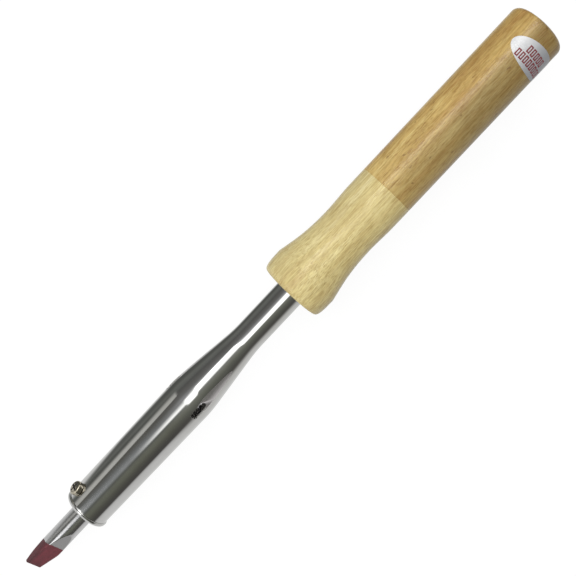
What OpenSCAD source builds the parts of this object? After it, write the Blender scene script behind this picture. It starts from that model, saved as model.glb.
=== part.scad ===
// Wood-handled soldering iron with an externally heated tip.
// +X runs from the tip to the cord end along the iron's axis, +Z is up as it lies on a bench,
// and the origin is the centre of the handle's front face. Radial features state their angle
// about +X, where 0 is straight up (+Z) and a positive angle leans towards -Y.

/* [Handle] */
// Overall length of the wooden handle
handle_len = 142.9; // [130:0.1:160]
// Distance from the front face to the glued seam between the two woods
seam_x = 56.2; // [50:0.1:66]
// Largest diameter, on the bell at the front
bell_d = 29.7; // [28:0.1:31]
// Distance from the front face to the largest diameter
bell_x = 9.3; // [7:0.1:11]
// Smallest diameter, at the waist behind the bell
waist_d = 23.6; // [22.5:0.1:24.4]
// Distance from the front face to the waist
waist_x = 34; // [30:0.1:38]
// Diameter of the straight grip
grip_d = 24.6; // [24:0.1:26]
// Distance from the front face to where the grip becomes straight
grip_x = 48; // [46:0.5:50]
// Radius that rounds the rear edge
rear_round = 2.6; // [1:0.1:4]
// Diameter of the cavity that holds the terminal block
cavity_d = 16; // [15.6:0.1:16.4]

/* [Barrel] */
// Diameter of the swaged neck
neck_d = 12.7; // [12:0.1:13]
// Diameter at the shoulder, the widest part of the barrel
shoulder_d = 20; // [19.8:0.1:21]
// Diameter at the front rim
rim_d = 19; // [18.8:0.1:19.6]
// Distance from the handle's face to the front end of the shell
barrel_len = 123.4; // [120:0.1:126]
// Length of neck held inside the handle
neck_grip = 30; // [26:1:32]
// Wall thickness of the shell
shell_wall = 0.8; // [0.6:0.1:1]
// Length of each vent slot
slot_len = 8.3; // [6:0.1:9]
// Width of each vent slot
slot_w = 3.4; // [2:0.1:4]
// Distance from the handle's face to the middle of the vent slots
slot_x = 60; // [58:0.5:61]
// Angle of the first of the three vent slots
slot_angle = 37.5; // [0:0.5:90]
// Distance from the handle's face to where the flat pressed behind each slot begins
flat_x = 39; // [36:0.5:44]
// Depth of that flat where it meets the slot
flat_depth = 0.3; // [0.1:0.05:0.3]
// How far the front lip stands out from the rim, on radius
lip_out = 0.5; // [0.2:0.1:0.8]
// Length of the lip in front of the shell
lip_t = 1.9; // [1.4:0.1:2.4]

/* [Tip] */
// Shank diameter of the tip
tip_d = 9.525; // [9.4:0.005:9.6]
// Length of the tip in front of the shell's end
tip_out = 34.5; // [30:0.1:38]
// Length of the whole tip
tip_len = 85; // [82:0.1:86]
// Length of the two broad chisel faces
chisel_len = 22.3; // [16:0.1:24]
// Thickness of the chisel's edge
edge_t = 1.2; // [0.8:0.1:2]
// Width of the chisel's edge
edge_w = 7.2; // [6:0.1:7.6]
// How far the edge is ground off centre
edge_shift = 0.8; // [0:0.1:0.8]
// Length of the narrowed sides next to the edge
side_len = 14; // [8:0.1:14]
// Angle of the broad face that looks up
chisel_angle = 39; // [0:1:90]
// Radial clearance between the tip and the bore it slides in
tip_fit = 0.06; // [0.02:0.01:0.1]

/* [Set screw] */
// Thread diameter of the set screw
screw_d = 4; // [3.8:0.1:4.2]
// Head diameter
screw_head_d = 6; // [5.6:0.1:7]
// Head height
screw_head_h = 2.1; // [1.8:0.1:2.4]
// Distance from the handle's face to the screw's axis
screw_x = 118.8; // [115:0.1:119.5]
// Angle of the screw's axis
screw_angle = -56; // [-65:1:-30]

/* [Label] */
// Length of the oval label around the grip
label_w = 28; // [20:0.5:32]
// Width of the oval label along the grip
label_h = 11.8; // [10:0.1:16]
// Distance from the handle's rear end to the label's centre
label_end = 12.8; // [12:0.1:30]
// Angle of the label's centre
label_angle = 44; // [0:1:90]

/* [Hidden] */
$fn = 96;

// Colours
light_wood = [0.87, 0.79, 0.55];
tan_wood = [0.80, 0.65, 0.38];
bright_plate = [0.75, 0.76, 0.75];
dull_steel = [0.55, 0.55, 0.53];
nickel = [0.70, 0.66, 0.56];
mica_tone = [0.78, 0.70, 0.52];
porcelain = [0.93, 0.92, 0.87];

// Small fits and overcuts
skin = 0.02;   // gap between seated round faces
over = 1;      // how far a cutter runs past a face

// Handle
bell_r = bell_d / 2;
waist_r = waist_d / 2;
grip_r = grip_d / 2;
bell_drop = 2.6;               // how much smaller the front face is than the bell, on radius
bell_power = 3.5;              // above 2, the bell runs level and then turns in close to the face
bell_skew = 0.57;              // below 1, the bell falls away quickly and the waist runs out slowly
tenon_len = 12;
tenon_r = 9.95;
tenon_gap = 0.2;               // glue space at the end of the tenon
cavity_end = handle_len - 14;  // rear end of the terminal cavity
cord_r = 3.6;                  // bore for a 7 mm cord
bush_r = 5.5;
bush_flange_r = 7;
bush_flange_t = 1.2;
bush_recess = 1.4;
handle_screw_x = 15;
handle_screw_r = 1.5;
handle_screw_bite = 1;         // how far its point stands inside the neck
handle_screw_head_r = 2.8;
handle_screw_head_h = 1.3;
handle_screw_sink = 0.4;       // how far its head lies below the wood's surface
handle_recess_len = 2.8;
handle_recess_w = 0.7;
handle_recess_depth = 0.8;

// Barrel
neck_r = neck_d / 2;
shoulder_r = shoulder_d / 2;
rim_r = rim_d / 2;
cone_start = 27.4;             // distances from the handle's face
cone_end = 57.6;
cone_blend = 4;
taper_start = cone_end + cone_blend;
shell_bore = rim_r - shell_wall - 0.1;

// Front bushing, core and element, as distances in front of the handle's face
lip_round = 1.2;               // on the lip's front edge
lip_back_round = 0.3;
lip_r = rim_r + lip_out;
lip_bore = tip_d / 2 + 0.2;
bushing_back = barrel_len - 13;
core_r = 6.2;
core_bore = tip_d / 2 + tip_fit;
core_back = 70;
plug_t = 2;
mica_t = 0.4;
mica_front = 109.5;
mica_back = 74;
ribbon_t = 0.2;
ribbon_w = 1.4;
ribbon_pitch = 3;
ribbon_turns = 10.5;
ribbon_steps = 18;             // straight pieces in each turn
ribbon_front = 108.2;
ribbon_r = (core_r + mica_t + skin) / cos(180 / ribbon_steps);  // its flats clear the mica
ribbon_back = ribbon_front - ribbon_turns * ribbon_pitch;
cover_r = ribbon_r + ribbon_t + skin;
cover_front = ribbon_front - ribbon_w;
cover_back = ribbon_back + ribbon_w;
return_r = cover_r + mica_t + skin;
band_r = return_r + ribbon_t + skin;
band_t = 0.3;
band_w = 2;
band_places = [100, 86];
spacer_front = core_back;
spacer_t = 4;
spacer_r = shell_r(spacer_front) - shell_wall - 0.05;
spacer_hole_r = 0.6;

// Wiring
wire_r = 0.5;
lead_y = 2.4;                  // leads in the neck, either side of the axis
ferrule_y = 8;                 // where the leads meet the element
ferrule_len = 4;
ferrule_r = 0.85;
lead_gather_x = -57;           // where the leads come together at the shell's cone
lead_spread_x = 62;            // where they part again, in front of the block
lead_in = 6;                   // length of lead inside the block
bead_r = 1.8;
bead_len = 6;
bead_pitch = 6.4;
bead_count = 13;
bead_start = -55;
block_x = 76;
block_len = 16;
block_w = 13.4;
block_h = 6.4;
block_pitch = 4.2;
insert_r = 1.6;
insert_bore = 0.9;
terminal_r = 0.8;
terminal_head_r = 1.1;
terminal_shank = 1.6;          // from the wire to the top of the shank
terminal_head_base = 1.2;
terminal_head_h = 1.2;
terminal_slot_w = 0.4;
terminal_slot_depth = 0.5;
terminal_offset = 4;           // clamping screws, each side of the block's middle
clip_r = neck_r - shell_wall;
clip_t = 0.6;
clip_len = 4.5;
clip_inset = 0.5;              // from the neck's rear end
ground_z = -(clip_r - clip_t - wire_r);

// Tip, from its root in the core to its edge
tip_r = tip_d / 2;
tip_front = barrel_len + tip_out;
tip_back = tip_front - tip_len;
root_chamfer = 0.8;

// Set screw, as heights along its own axis above the iron's axis
screw_r = screw_d / 2 - 0.05;
seat_h = shell_r(screw_x) + skin;
washer_t = 0.5;
washer_r = screw_head_d / 2 - 0.15;
washer_gap = 0.6;              // its split
washer_split_angle = 25;
point_h = tip_r + 0.05;
head_base_h = seat_h + washer_t + skin;
recess_len = 3.8;
recess_w = 0.8;
recess_depth = 1.2;

label_t = 0.08;
label_x = handle_len - label_end;

// A straight ramp from 0 to b - a whose two corners are rounded over +-w
function soft_step(u, w) = u <= -w ? 0 : u >= w ? u : pow(u + w, 2) / (4 * w);
function soft_ramp(u, a, b, w) = soft_step(u - a, w) - soft_step(u - b, w);
function ease(u) = (1 - cos(180 * u)) / 2;

// Outer radius of the shell at a distance d in front of the handle's face
function shell_r(d) =
    neck_r
    + (shoulder_r - neck_r) * soft_ramp(d, cone_start, cone_end, cone_blend) / (cone_end - cone_start)
    - (shoulder_r - rim_r) * max(0, d - taper_start) / (barrel_len - taper_start);

// Outer radius of the handle at a distance x behind its front face
function handle_r(x) =
    x < bell_x ? bell_r - bell_drop * (1 - pow(1 - pow((bell_x - x) / bell_x, bell_power), 1 / bell_power))
    : x < waist_x ? bell_r + (waist_r - bell_r) * ease(pow((x - bell_x) / (waist_x - bell_x), bell_skew))
    : x < grip_x ? waist_r + (grip_r - waist_r) * ease((x - waist_x) / (grip_x - waist_x))
    : grip_r;

// Stations from a to b in steps of about s, both ends included
function stations(a, b, s) = let (n = ceil((b - a) / s)) [for (i = [0 : n]) a + (b - a) * i / n];

// Turns a profile of [radius, x] points about the iron's axis
module turned(profile) rotate([0, 90, 0]) rotate_extrude() polygon(profile);

// A tube between two x positions
module tube(x0, x1, outer, inner) turned([[inner, x0], [outer, x0], [outer, x1], [inner, x1]]);

// A rod between two x positions
module rod(x0, x1, r) translate([x0, 0, 0]) rotate([0, 90, 0]) cylinder(h = x1 - x0, r = r);

// Puts children at an x position and an angle about the axis, with their +Z pointing outwards
module radial(x, angle) translate([x, 0, 0]) rotate([angle, 0, 0]) children();

function unit(v) = v / norm(v);

// A wire of radius r swept along points that lie in one plane, whose normal is given
module wire(points, r, normal) {
    sides = 12;
    last = len(points) - 1;
    rings = [for (i = [0 : last])
        let (
            along = unit(points[min(i + 1, last)] - points[max(i - 1, 0)]),
            across = unit(cross(along, normal))
        )
        [for (k = [0 : sides - 1])
            points[i] + r * (cos(360 * k / sides) * across + sin(360 * k / sides) * normal)]];
    walls = [for (i = [0 : last - 1], k = [0 : sides - 1]) let (n = (k + 1) % sides)
        [sides * i + k, sides * i + n, sides * (i + 1) + n, sides * (i + 1) + k]];
    front = [for (k = [sides - 1 : -1 : 0]) k];
    rear = [for (k = [0 : sides - 1]) sides * last + k];
    polyhedron([for (ring = rings) each ring], concat([front], walls, [rear]));
}

module cross_recess(top, size, width, depth)
    for (a = [0, 90])
        translate([0, 0, top - depth / 2]) rotate([0, 0, a]) cube([size, width, depth + 0.2], center = true);

// Front part of the handle, light wood, with the tenon that enters the grip
module handle_front() color(light_wood) difference() {
    union() {
        turned(concat(
            [[0, 0]],
            [for (a = [0 : 5 : 85]) [handle_r(bell_x * (1 - cos(a))), bell_x * (1 - cos(a))]],
            [for (x = stations(bell_x, grip_x, 1)) [handle_r(x), x]],
            [[grip_r, seam_x], [0, seam_x]]
        ));
        rod(seam_x, seam_x + tenon_len, tenon_r);
    }
    rod(-over, neck_grip + skin, neck_r + skin);
    rod(neck_grip, seam_x + tenon_len + over, cavity_d / 2);
    radial(handle_screw_x, 180) handle_screw_solid(skin);
}

// Rear part of the handle, tan wood, bored for the tenon, the terminals and the cord
module handle_grip() color(tan_wood) difference() {
    turned(concat(
        [[0, seam_x], [grip_r, seam_x]],
        [for (a = [0 : 10 : 90])
            [grip_r - rear_round * (1 - cos(a)), handle_len - rear_round * (1 - sin(a))]],
        [[0, handle_len]]
    ));
    rod(seam_x - over, seam_x + tenon_len + tenon_gap, tenon_r + skin);
    rod(seam_x, cavity_end, cavity_d / 2);
    rod(cavity_end - over, handle_len + over, bush_r);
    rod(handle_len - bush_recess, handle_len + over, bush_flange_r + skin);
}

// Countersunk wood screw, grown by g to make its own hole
module handle_screw_solid(g) {
    top = handle_r(handle_screw_x) - handle_screw_sink;
    point = clip_r - handle_screw_bite;
    translate([0, 0, point]) cylinder(h = top - point, r = handle_screw_r + g);
    translate([0, 0, top - handle_screw_head_h])
        cylinder(h = handle_screw_head_h, r1 = handle_screw_r + g, r2 = handle_screw_head_r + g);
    if (g > 0) translate([0, 0, top]) cylinder(h = 2 * handle_screw_sink, r = handle_screw_head_r + g);
}

module handle_screw() color(dull_steel) radial(handle_screw_x, 180) difference() {
    handle_screw_solid(0);
    cross_recess(handle_r(handle_screw_x) - handle_screw_sink,
        handle_recess_len, handle_recess_w, handle_recess_depth);
}

// Oval label wrapped round the grip: its outline is set out along the arc, then cut radially
module rating_label() {
    outline = [for (a = [0 : 7.5 : 352.5])
        [label_h / 2 * cos(a), grip_r * sin(label_w / 2 * sin(a) / grip_r * 180 / PI)]];
    color("whitesmoke") intersection() {
        tube(label_x - label_h, label_x + label_h, grip_r + label_t, grip_r);
        radial(label_x, label_angle) linear_extrude(2 * grip_r) polygon(outline);
    }
}

// Bush that lines the cord inlet in the rear of the handle
module cord_bush() color("dimgray") difference() {
    union() {
        rod(cavity_end + 1, handle_len - bush_recess, bush_r);
        rod(handle_len - bush_recess, handle_len - bush_recess + bush_flange_t, bush_flange_r);
    }
    rod(cavity_end, handle_len + over, cord_r);
}

module oblong(length, width, height) {
    for (end = [-1, 1]) translate([end * (length - width) / 2, 0, 0]) cylinder(h = height, d = width);
    translate([-(length - width) / 2, -width / 2, 0]) cube([length - width, width, height]);
}

// Plated steel shell: barrel, shoulder and swaged neck in one piece
module barrel_shell() color(bright_plate) difference() {
    d = concat(
        [-neck_grip],
        stations(cone_start - cone_blend, taper_start, 1.5),
        [barrel_len]
    );
    turned(concat(
        [for (x = d) [shell_r(x), -x]],
        [for (i = [len(d) - 1 : -1 : 0]) [shell_r(d[i]) - shell_wall, -d[i]]]
    ));
    for (a = [0, 120, 240]) {
        radial(-slot_x, slot_angle + a) translate([0, 0, neck_r]) oblong(slot_len, slot_w, neck_r);
        radial(-flat_x, slot_angle + a) pressed_flat();
    }
    radial(-screw_x, screw_angle) cylinder(h = bell_r, d = screw_d + 0.4);
    radial(handle_screw_x, 180) cylinder(h = bell_r, r = handle_screw_r + skin);
}

// Cuts a flat that begins on the cone at flat_x and runs down to the end of a slot
module pressed_flat() {
    slot_end = slot_x - slot_len / 2;
    pitch = atan((shell_r(slot_end) - flat_depth - shell_r(flat_x)) / (slot_end - flat_x));
    translate([0, 0, shell_r(flat_x)]) rotate([0, pitch, 0]) translate([flat_x - slot_x, -neck_r, 0])
        cube([slot_x - flat_x, 2 * neck_r, neck_r]);
}

// Bushing with the rim lip: it closes the shell, holds the core and is tapped for the set screw
module front_bushing() color(bright_plate) difference() {
    lip_front = -barrel_len - lip_t;
    turned(concat(
        [[core_r + skin, -bushing_back], [shell_bore, -bushing_back], [shell_bore, -barrel_len]],
        [for (a = [90 : -15 : 0])
            [lip_r - lip_back_round * (1 - cos(a)), -barrel_len - lip_back_round * (1 - sin(a))]],
        [for (a = [0 : 15 : 90])
            [lip_r - lip_round * (1 - cos(a)), lip_front + lip_round * (1 - sin(a))]],
        [[lip_bore, lip_front], [lip_bore, -barrel_len], [core_r + skin, -barrel_len]]
    ));
    radial(-screw_x, screw_angle) cylinder(h = bell_r, d = screw_d);
}

// Core tube that the tip slides in and the element is wound on
module core_tube() color(dull_steel) difference() {
    tube(-barrel_len, -core_back, core_r, core_bore);
    radial(-screw_x, screw_angle) cylinder(h = bell_r, d = screw_d + 0.2);
}

module core_plug() color(dull_steel) rod(-core_back - plug_t, -core_back, core_bore - skin);

module inner_mica() color(mica_tone) tube(-mica_front, -mica_back, core_r + mica_t, core_r);

module outer_mica() color(mica_tone) tube(-cover_front, -cover_back, cover_r + mica_t, cover_r);

// Resistance ribbon: a helix, the strip that returns over the outer mica, and the risers that
// turn its two ends out to the ferrules
module heating_ribbon() color("slategray") union() {
    steps = ribbon_turns * ribbon_steps;
    rings = [for (i = [0 : steps])
        let (a = 180 + 360 * i / ribbon_steps, x = -ribbon_front + ribbon_pitch * i / ribbon_steps)
        [for (p = [[0, 0], [ribbon_w, 0], [ribbon_w, ribbon_t], [0, ribbon_t]])
            [x + p[0] - ribbon_w / 2, (ribbon_r + p[1]) * cos(a), (ribbon_r + p[1]) * sin(a)]]];
    sides = [for (i = [0 : steps - 1], k = [0 : 3])
        [4 * i + k, 4 * i + 4 + k, 4 * i + 4 + (k + 1) % 4, 4 * i + (k + 1) % 4]];
    ends = [[0, 1, 2, 3], [4 * steps + 3, 4 * steps + 2, 4 * steps + 1, 4 * steps]];
    polyhedron([for (ring = rings) each ring], concat(sides, ends));
    front = -ribbon_front - ribbon_w / 2;
    strip(front, front + ribbon_w, ribbon_r, return_r + ribbon_t, ribbon_t, 90);
    strip(front, -ribbon_back, return_r, return_r + ribbon_t, ribbon_w, 90);
    strip(-ribbon_back - ribbon_w / 2, -ribbon_back, return_r, ferrule_y + wire_r, ribbon_t, 90);
    strip(-ribbon_back - ribbon_w / 2, -ribbon_back, ribbon_r, ferrule_y + wire_r, ribbon_t, -90);
}

// Flat piece between two x positions and two radii, standing at an angle
module strip(x0, x1, r0, r1, width, angle)
    radial(x0, angle) translate([0, -width / 2, r0]) cube([x1 - x0, width, r1 - r0]);

// Wire bands that hold the outer mica and the return strip down
module binding_bands() color(dull_steel)
    for (x = band_places) tube(-x, -x + band_w, band_r + band_t, band_r);

// Ceramic disc that centres the core's rear end and passes both leads
module rear_spacer() color(porcelain) difference() {
    rod(-spacer_front, -spacer_front + spacer_t, spacer_r);
    for (side = [-1, 1]) translate([0, side * ferrule_y, 0])
        rod(-spacer_front - over, -spacer_front + spacer_t + over, spacer_hole_r);
}

module crimp_ferrules() color("tan")
    for (side = [-1, 1]) translate([0, side * ferrule_y, 0])
        tube(-ribbon_back, -ribbon_back + ferrule_len, ferrule_r, wire_r);

// Lead from the element's end, through the neck, to its terminal
module lead(side) wire([
    [-ribbon_back + ferrule_len / 8, side * ferrule_y, 0],
    [-spacer_front + spacer_t + 2 * over, side * ferrule_y, 0],
    [lead_gather_x, side * lead_y, 0],
    [neck_grip + 2 * over, side * lead_y, 0],
    [lead_spread_x, side * block_pitch, 0],
    [block_x + lead_in, side * block_pitch, 0]
], wire_r, [0, 0, 1]);

module live_lead() color("silver") lead(-1);

module neutral_lead() color("silver") lead(1);

// Ceramic beads threaded on both leads
module lead_beads() color(porcelain)
    for (side = [-1, 1], i = [0 : bead_count - 1]) translate([bead_start + bead_pitch * i, side * lead_y, 0])
        tube(0, bead_len, bead_r, wire_r + skin);

// Spring ring in the neck's rear end, where the ground lead is fixed
module ground_clip() color("goldenrod")
    tube(neck_grip - clip_inset - clip_len, neck_grip - clip_inset, clip_r, clip_r - clip_t);

module ground_lead() color("silver") wire([
    [neck_grip - clip_len + clip_inset, 0, ground_z],
    [neck_grip + clip_len - clip_inset, 0, ground_z],
    [lead_spread_x, 0, 0],
    [block_x + lead_in, 0, 0]
], wire_r, [0, 1, 0]);

// Repeats its children at each of the block's three ways
module each_way() for (way = [-1 : 1]) translate([block_x, way * block_pitch, 0]) children();

// Repeats its children at each of the six clamping screws
module each_clamp()
    each_way() for (end = [-1, 1]) translate([block_len / 2 + end * terminal_offset, 0, 0]) children();

module terminal_block() color(porcelain) difference() {
    translate([block_x, -block_w / 2, -block_h / 2]) cube([block_len, block_w, block_h]);
    each_way() rod(-over, block_len + over, insert_r);
    each_clamp() cylinder(h = block_h, r = terminal_head_r + 0.1);
}

module terminal_inserts() color("gold") difference() {
    each_way() tube(1, block_len - 1, insert_r, insert_bore);
    each_clamp() cylinder(h = block_h, r = terminal_r + skin);
}

module terminal_screws() color("gold") each_clamp() difference() {
    base = wire_r + skin;
    top = base + terminal_head_base + terminal_head_h;
    union() {
        translate([0, 0, base]) cylinder(h = terminal_shank, r = terminal_r);
        translate([0, 0, base + terminal_head_base]) cylinder(h = terminal_head_h, r = terminal_head_r);
    }
    translate([-2 * over, -terminal_slot_w / 2, top - terminal_slot_depth])
        cube([4 * over, terminal_slot_w, over]);
}

// Plated copper tip with a chisel end
module tip() color(bright_plate) difference() {
    turned([
        [0, -tip_front], [tip_r, -tip_front],
        [tip_r, -tip_back - root_chamfer], [tip_r - root_chamfer, -tip_back], [0, -tip_back]
    ]);
    radial(0, chisel_angle) {
        for (flip = [0, 180]) rotate([flip, 0, 0]) translate([0, tip_r + over, 0]) rotate([90, 0, 0])
            linear_extrude(2 * (tip_r + over)) bevel(chisel_len, edge_t / 2);
        for (side = [-1, 1]) rotate([90 * side, 0, 0]) translate([0, tip_r + over, 0]) rotate([90, 0, 0])
            linear_extrude(2 * (tip_r + over)) bevel(side_len, edge_w / 2 - side * edge_shift);
    }
}

// What is cut from one side of the tip to leave half a thickness at the edge
module bevel(length, half) {
    slope = (tip_r - half) / length;
    polygon([
        [-tip_front + length + over, tip_r + slope * over],
        [-tip_front - over, half - slope * over],
        [-tip_front - over, tip_r + 3],
        [-tip_front + length + over, tip_r + 3]
    ]);
}

// Split lock washer, captive under the set screw's head
module screw_washer() color(dull_steel) radial(-screw_x, screw_angle) translate([0, 0, seat_h]) difference() {
    cylinder(h = washer_t, r = washer_r);
    translate([0, 0, -over]) cylinder(h = washer_t + 2 * over, r = screw_d / 2);
    rotate([0, 0, washer_split_angle]) translate([0, -washer_gap / 2, -over])
        cube([2 * washer_r, washer_gap, washer_t + 2 * over]);
}

// Pan-head screw that clamps the tip
module tip_screw() color(nickel) radial(-screw_x, screw_angle) difference() {
    head_r = screw_head_d / 2;
    round_r = 1;
    crown = 0.15;
    top = head_base_h + screw_head_h;
    rotate_extrude() polygon(concat(
        [[0, point_h], [screw_r - 0.5, point_h], [screw_r, point_h + 0.5], [screw_r, head_base_h],
         [head_r, head_base_h]],
        [for (a = [0 : 15 : 90])
            [head_r - round_r * (1 - cos(a)), top - crown - round_r * (1 - sin(a))]],
        [[head_r / 3, top], [0, top]]
    ));
    cross_recess(top, recess_len, recess_w, recess_depth);
}

handle_front();
handle_grip();
handle_screw();
rating_label();
cord_bush();
barrel_shell();
front_bushing();
core_tube();
core_plug();
inner_mica();
heating_ribbon();
outer_mica();
binding_bands();
rear_spacer();
crimp_ferrules();
live_lead();
neutral_lead();
lead_beads();
ground_clip();
ground_lead();
terminal_block();
terminal_inserts();
terminal_screws();
tip();
screw_washer();
tip_screw();
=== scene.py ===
import math

import bmesh
import bpy
from mathutils import Matrix, Vector


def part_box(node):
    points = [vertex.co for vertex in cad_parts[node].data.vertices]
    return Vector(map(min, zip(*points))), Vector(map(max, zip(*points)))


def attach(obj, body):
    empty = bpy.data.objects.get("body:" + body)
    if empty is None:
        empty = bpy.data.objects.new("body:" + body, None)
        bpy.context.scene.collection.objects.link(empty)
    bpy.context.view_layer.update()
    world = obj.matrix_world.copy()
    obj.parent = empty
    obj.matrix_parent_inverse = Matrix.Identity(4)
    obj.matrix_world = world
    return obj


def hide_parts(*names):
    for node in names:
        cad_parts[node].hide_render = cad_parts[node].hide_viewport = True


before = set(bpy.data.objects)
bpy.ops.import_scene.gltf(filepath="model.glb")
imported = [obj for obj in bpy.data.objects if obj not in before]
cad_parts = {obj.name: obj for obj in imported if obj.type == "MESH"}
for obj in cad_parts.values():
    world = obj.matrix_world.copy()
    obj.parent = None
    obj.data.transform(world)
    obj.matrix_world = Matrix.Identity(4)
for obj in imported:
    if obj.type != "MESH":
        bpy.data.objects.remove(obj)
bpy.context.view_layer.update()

# Lengths are in millimetres and become metres when a mesh is made. +X runs from the tip to the
# cord end. An angle about the iron's axis is in degrees, 0 straight up, positive towards -Y.
MM = 0.001


def low(node):
    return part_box(node)[0] / MM


def high(node):
    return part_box(node)[1] / MM


# Sizes that the frame gives
HANDLE_END = high("handle_grip").x
SEAM_X = low("handle_grip").x
GRIP_R = high("handle_grip").z
BELL_R = high("handle_front").z
TENON_END = high("handle_front").x
BARREL_FRONT = low("barrel_shell").x
NECK_BACK = high("barrel_shell").x
LIP_FRONT = low("front_bushing").x
LIP_R = high("front_bushing").z
CORE_R = high("core_tube").z
BUSHING_BACK = high("front_bushing").x
TIP_FRONT = low("tip").x
TIP_BACK = high("tip").x
TIP_R = high("tip").z
SCREW_X = (low("tip_screw").x + high("tip_screw").x) / 2
SCREW_HEAD_R = (high("tip_screw").x - low("tip_screw").x) / 2
LABEL_X = (low("rating_label").x + high("rating_label").x) / 2
LABEL_H = high("rating_label").x - low("rating_label").x

# Handle outline
BELL_X = 9.3
BELL_DROP = 2.6
BELL_POWER = 3.5
BELL_SKEW = 0.57
WAIST_X = 34
WAIST_R = 11.8
GRIP_X = 48
SEAM_EDGE = 0.12            # bevel on both sides of the seam
REAR_ROUND = 2.6
TENON_R = 9.95
TENON_GAP = 0.2
CAVITY_R = 8
CAVITY_END = HANDLE_END - 14
BUSH_R = 5.5
BUSH_SEAT_R = 7.02
BUSH_SEAT_DEPTH = 1.4
BUSH_SEAT_EDGE = 0.25

# Barrel. The cone, the taper and the flats are placed by their distance in front of the
# handle's face, which is at x = 0, and the slots and screws by x.
NECK_R = 6.35
SHOULDER_R = 10
RIM_R = 9.5
CONE_START = 27.4
CONE_END = 57.6
CONE_BLEND = 4
TAPER_START = CONE_END + CONE_BLEND
SHELL_WALL = 0.8
SLOT_X = -60
SLOT_LEN = 8.3
SLOT_W = 3.4
SLOT_ANGLES = [37.5 + 120 * i for i in range(3)]
FLAT_START = 39             # a flat is pressed in behind each slot
FLAT_DEPTH = 0.3
LIP_ROUND = 1.2
LIP_BACK_ROUND = 0.3
SCREW_ANGLE = -56
SCREW_R = 2
SCREW_HEAD_H = 2.1
SCREW_PITCH = 0.7
SHELL_HOLE_GAP = 0.2        # the tip screw passes the shell and is threaded in the bushing
WASHER_T = 0.5
HANDLE_SCREW_X = 15
HANDLE_SCREW_ANGLE = 180
HANDLE_SCREW_HOLE_R = 1.52
HANDLE_SCREW_HEAD_R = 2.82
HANDLE_SCREW_WELL = 1.7     # how far below the bell's skin the head sits
CLEARANCE = 0.02

# Tip
CHISEL_LEN = 22.3
CHISEL_ANGLE = 39
EDGE_T = 1.2
EDGE_W = 7.2
EDGE_SHIFT = 0.8            # the edge is ground off centre
SIDE_LEN = 14
TIP_BACK_EDGE = 0.8
DIP_X = -144.6              # how far the dipped red coat reaches

# Label
LABEL_ANGLE = 44
LABEL_W = 28
LABEL_T = 0.07
MARK_SINK = 0.01            # the print starts just inside the label
MARK_T = 0.018

LATHE_SIDES = 192           # faces round a turned piece


def ease(u):
    return (1 - math.cos(math.pi * u)) / 2


def handle_r(x):
    if x < BELL_X:
        level = max(0, 1 - ((BELL_X - x) / BELL_X) ** BELL_POWER)
        return BELL_R - BELL_DROP * (1 - level ** (1 / BELL_POWER))
    if x < WAIST_X:
        return BELL_R + (WAIST_R - BELL_R) * ease(((x - BELL_X) / (WAIST_X - BELL_X)) ** BELL_SKEW)
    if x < GRIP_X:
        return WAIST_R + (GRIP_R - WAIST_R) * ease((x - WAIST_X) / (GRIP_X - WAIST_X))
    return GRIP_R


def soft_step(u, w):
    return 0 if u <= -w else u if u >= w else (u + w) ** 2 / (4 * w)


def shell_r(x):
    d = -x
    cone = soft_step(d - CONE_START, CONE_BLEND) - soft_step(d - CONE_END, CONE_BLEND)
    fall = (SHOULDER_R - RIM_R) * max(0, d - TAPER_START) / (-BARREL_FRONT - TAPER_START)
    return NECK_R + (SHOULDER_R - NECK_R) * cone / (CONE_END - CONE_START) - fall


def spaced(a, b, step):
    count = max(1, math.ceil(abs(b - a) / step))
    return [a + (b - a) * i / count for i in range(count + 1)]


def arc(cx, cr, radius, start, end, steps):
    """Points (x, r) on an arc; at 0 degrees the point is on the +X side, at 90 on the outside."""
    turns = [math.radians(start + (end - start) * i / steps) for i in range(steps + 1)]
    return [(cx + radius * math.cos(a), cr + radius * math.sin(a)) for a in turns]


# ---------------------------------------------------------------- mesh helpers

def around(x, r, angle):
    a = math.radians(angle)
    return Vector((x, -r * math.sin(a), r * math.cos(a)))


def new_object(name, data):
    made = bpy.data.objects.new(name, data)
    bpy.context.scene.collection.objects.link(made)
    return made


def new_piece(name, points, faces, smooth_below=35):
    mesh = bpy.data.meshes.new(name)
    mesh.from_pydata([Vector(p) * MM for p in points], [], faces)
    mesh.validate()
    piece = new_object(name, mesh)
    shade(piece, smooth_below)
    return piece


def shade(piece, smooth_below=35):
    shape = bmesh.new()
    shape.from_mesh(piece.data)
    bmesh.ops.recalc_face_normals(shape, faces=shape.faces)
    shape.to_mesh(piece.data)
    shape.free()
    smooth(piece, smooth_below)


def smooth(piece, below):
    """Smooth shading, with an edge kept sharp where its faces meet at more than this angle."""
    piece.data.shade_smooth()
    piece.data.set_sharp_from_angle(angle=math.radians(below))


def mesh_from(shape, name):
    mesh = bpy.data.meshes.new(name)
    shape.to_mesh(mesh)
    shape.free()
    return mesh


def lathe(name, profile, sides=LATHE_SIDES):
    """Turns a closed outline of (x, r) points about the iron's axis. A point on the axis
    becomes one vertex."""
    points, rings = [], []
    for x, r in profile:
        if r < 1e-6:
            rings.append([len(points)])
            points.append((x, 0, 0))
        else:
            rings.append(list(range(len(points), len(points) + sides)))
            points += [around(x, r, 360 * k / sides) for k in range(sides)]
    faces = []
    for one, two in zip(rings, rings[1:] + rings[:1]):
        for k in range(sides):
            n = (k + 1) % sides
            face = [one[k % len(one)], one[n % len(one)], two[n % len(two)], two[k % len(two)]]
            face = [v for i, v in enumerate(face) if v not in face[:i]]
            if len(face) > 2:
                faces.append(face)
    return new_piece(name, points, faces)


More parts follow.
